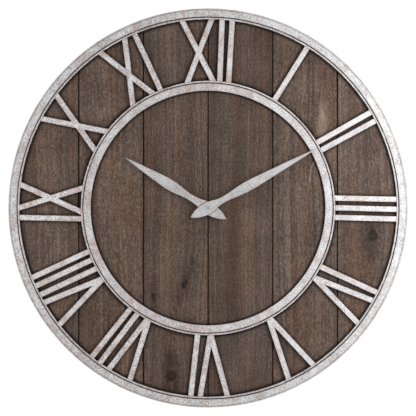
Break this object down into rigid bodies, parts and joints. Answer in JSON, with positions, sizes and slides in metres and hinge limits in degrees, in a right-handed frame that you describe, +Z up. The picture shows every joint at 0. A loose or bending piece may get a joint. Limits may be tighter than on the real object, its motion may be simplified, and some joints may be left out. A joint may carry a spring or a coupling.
{
  "type": "wall clock",
  "caption": "Large round wall clock: plank dial in a steel rim, strip Roman numerals between two hoops, two leaf hands and a quartz movement with its whole gear train.",
  "frame": {"origin": "the wall screw, at the top of the hanger's slot, on the plane of the wall", "axes": "+Z up, +Y into the wall, so the dial faces -Y and is read with +X to the right"},
  "size_m": [0.762, 0.0458, 0.762],
  "materials": {
    "whitewashed_steel": "distressed whitewash, eggshell",
    "whitewashed_aluminium": "distressed whitewash, eggshell",
    "stained_fir": "grey-brown stain, matt",
    "raw_fir": "planed, unfinished",
    "zinc_steel": "zinc plated",
    "black_plastic": "moulded, fine texture",
    "white_plastic": "moulded",
    "brass": "turned",
    "battery_jacket": "printed sleeve, no marks",
    "green_board": "circuit board",
    "iron": "bare",
    "copper_wire": "enamelled wire"
  },
  "bodies": {
    "dial_and_case": {"rim": "whitewashed_steel", "outer_hoop": "whitewashed_steel", "inner_ring": "whitewashed_steel", "inner_hoop": "whitewashed_steel", "numeral_I_bar_1": "whitewashed_steel", "numeral_II_bar_1": "whitewashed_steel", "numeral_II_bar_2": "whitewashed_steel", "numeral_III_bar_1": "whitewashed_steel", "numeral_III_bar_2": "whitewashed_steel", "numeral_III_bar_3": "whitewashed_steel", "numeral_IV_bar_1": "whitewashed_steel", "numeral_IV_vee": "whitewashed_steel", "numeral_V_vee": "whitewashed_steel", "numeral_VI_bar_1": "whitewashed_steel", "numeral_VI_vee": "whitewashed_steel", "numeral_VII_bar_1": "whitewashed_steel", "numeral_VII_bar_2": "whitewashed_steel", "numeral_VII_vee": "whitewashed_steel", "numeral_VIII_bar_1": "whitewashed_steel", "numeral_VIII_bar_2": "whitewashed_steel", "numeral_VIII_bar_3": "whitewashed_steel", "numeral_VIII_vee": "whitewashed_steel", "numeral_IX_bar_1": "whitewashed_steel", "numeral_IX_cross": "whitewashed_steel", "numeral_X_cross": "whitewashed_steel", "numeral_XI_bar_1": "whitewashed_steel", "numeral_XI_cross": "whitewashed_steel", "numeral_XII_bar_1": "whitewashed_steel", "numeral_XII_bar_2": "whitewashed_steel", "numeral_XII_cross": "whitewashed_steel", "plank_1": "stained_fir", "plank_2": "stained_fir", "plank_3": "stained_fir", "plank_4": "stained_fir", "plank_5": "stained_fir", "plank_6": "stained_fir", "batten_upper": "raw_fir", "batten_lower": "raw_fir", "wall_hanger": "zinc_steel", "movement_case": "black_plastic", "movement_cover": "black_plastic", "train_bridge": "white_plastic", "mounting_nut": "brass", "battery": "battery_jacket", "battery_contact_positive": "zinc_steel", "battery_contact_negative": "zinc_steel", "circuit_board": "green_board", "stator": "iron", "coil": "copper_wire"},
    "minute_arbor": {"centre_wheel": "brass", "minute_hand": "whitewashed_aluminium", "hand_nut": "whitewashed_aluminium"},
    "hour_pipe": {"hour_wheel": "brass", "hour_hand": "whitewashed_aluminium"},
    "motion_work": {"motion_wheel": "white_plastic"},
    "set_knob": {"set_knob": "black_plastic"},
    "third_arbor": {"third_wheel": "white_plastic"},
    "fourth_arbor": {"fourth_wheel": "white_plastic"},
    "fifth_arbor": {"fifth_wheel": "white_plastic"},
    "rotor": {"rotor": "iron"}
  },
  "joints": [
    {"name": "minute_hand_turn", "type": "hinge", "parent": "dial_and_case", "child": "minute_arbor", "pos_m": [0, -0.02, -0.212], "axis": [0, 1, 0], "continuous": true},
    {"name": "hour_hand_turn", "type": "hinge", "parent": "dial_and_case", "child": "hour_pipe", "pos_m": [0, -0.02, -0.212], "axis": [0, 1, 0], "continuous": true},
    {"name": "motion_wheel_turn", "type": "hinge", "parent": "dial_and_case", "child": "motion_work", "pos_m": [-0.005, -0.02, -0.20334], "axis": [0, 1, 0], "continuous": true},
    {"name": "set_knob_turn", "type": "hinge", "parent": "dial_and_case", "child": "set_knob", "pos_m": [-0.01, -0.02, -0.19468], "axis": [0, 1, 0], "continuous": true},
    {"name": "third_wheel_turn", "type": "hinge", "parent": "dial_and_case", "child": "third_arbor", "pos_m": [0.01305, -0.02, -0.20591], "axis": [0, 1, 0], "continuous": true},
    {"name": "fourth_wheel_turn", "type": "hinge", "parent": "dial_and_case", "child": "fourth_arbor", "pos_m": [0, -0.02, -0.212], "axis": [0, 1, 0], "continuous": true},
    {"name": "fifth_wheel_turn", "type": "hinge", "parent": "dial_and_case", "child": "fifth_arbor", "pos_m": [-0.00811, -0.02, -0.21417], "axis": [0, 1, 0], "continuous": true},
    {"name": "rotor_turn", "type": "hinge", "parent": "dial_and_case", "child": "rotor", "pos_m": [-0.01507, -0.02, -0.21604], "axis": [0, 1, 0], "continuous": true}
  ],
  "couplings": [
    {"joint": "hour_hand_turn", "follows": "minute_hand_turn", "ratio": 0.083333},
    {"joint": "motion_wheel_turn", "follows": "minute_hand_turn", "ratio": -0.33333},
    {"joint": "set_knob_turn", "follows": "minute_hand_turn", "ratio": 1},
    {"joint": "third_wheel_turn", "follows": "minute_hand_turn", "ratio": -8},
    {"joint": "fourth_wheel_turn", "follows": "minute_hand_turn", "ratio": 60},
    {"joint": "fifth_wheel_turn", "follows": "minute_hand_turn", "ratio": -360},
    {"joint": "rotor_turn", "follows": "minute_hand_turn", "ratio": 1800}
  ]
}
